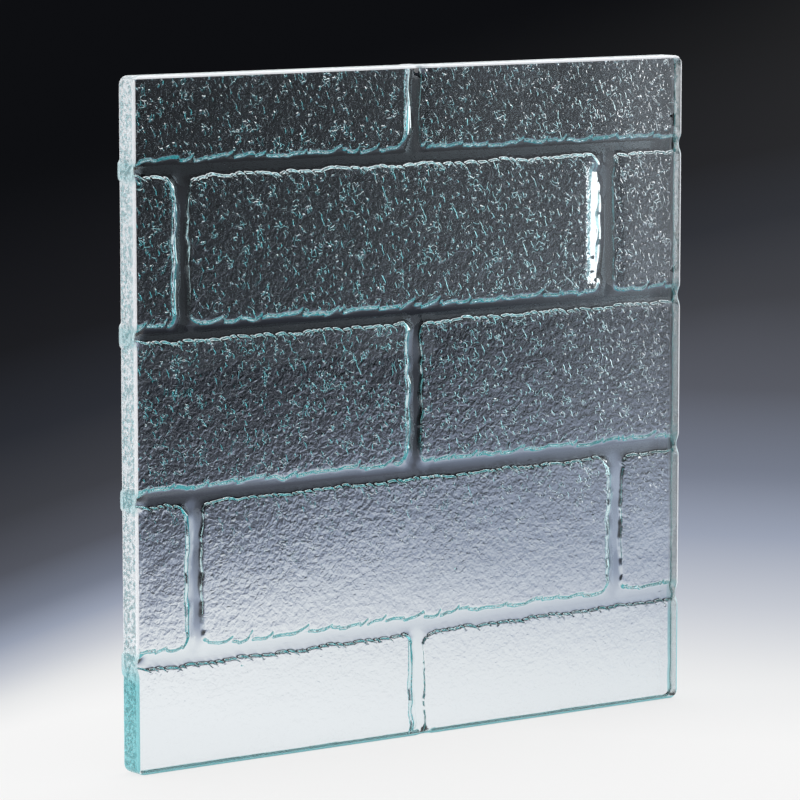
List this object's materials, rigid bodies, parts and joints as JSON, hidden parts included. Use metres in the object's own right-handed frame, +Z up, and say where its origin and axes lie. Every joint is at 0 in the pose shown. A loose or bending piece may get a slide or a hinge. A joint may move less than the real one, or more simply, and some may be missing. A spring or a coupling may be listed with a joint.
{
  "type": "textured glass panel",
  "caption": "Square panel of thick clear glass, kiln formed over bricks: ragged ridges on its back face, soft grooves in its front face and a polished edge.",
  "frame": {"origin": "middle of the bottom edge face, halfway through the sheet", "axes": "+X along the panel to the right seen from the front, +Y from the smooth front face to the ridged back face, +Z up"},
  "size_m": [0.305, 0.015, 0.305],
  "materials": {
    "cast_glass": "clear soda-lime glass with a pale teal edge tint, fire polished in front and grained by the mould behind"
  },
  "bodies": {
    "root": {"glass_panel": "cast_glass"}
  },
  "joints": []
}
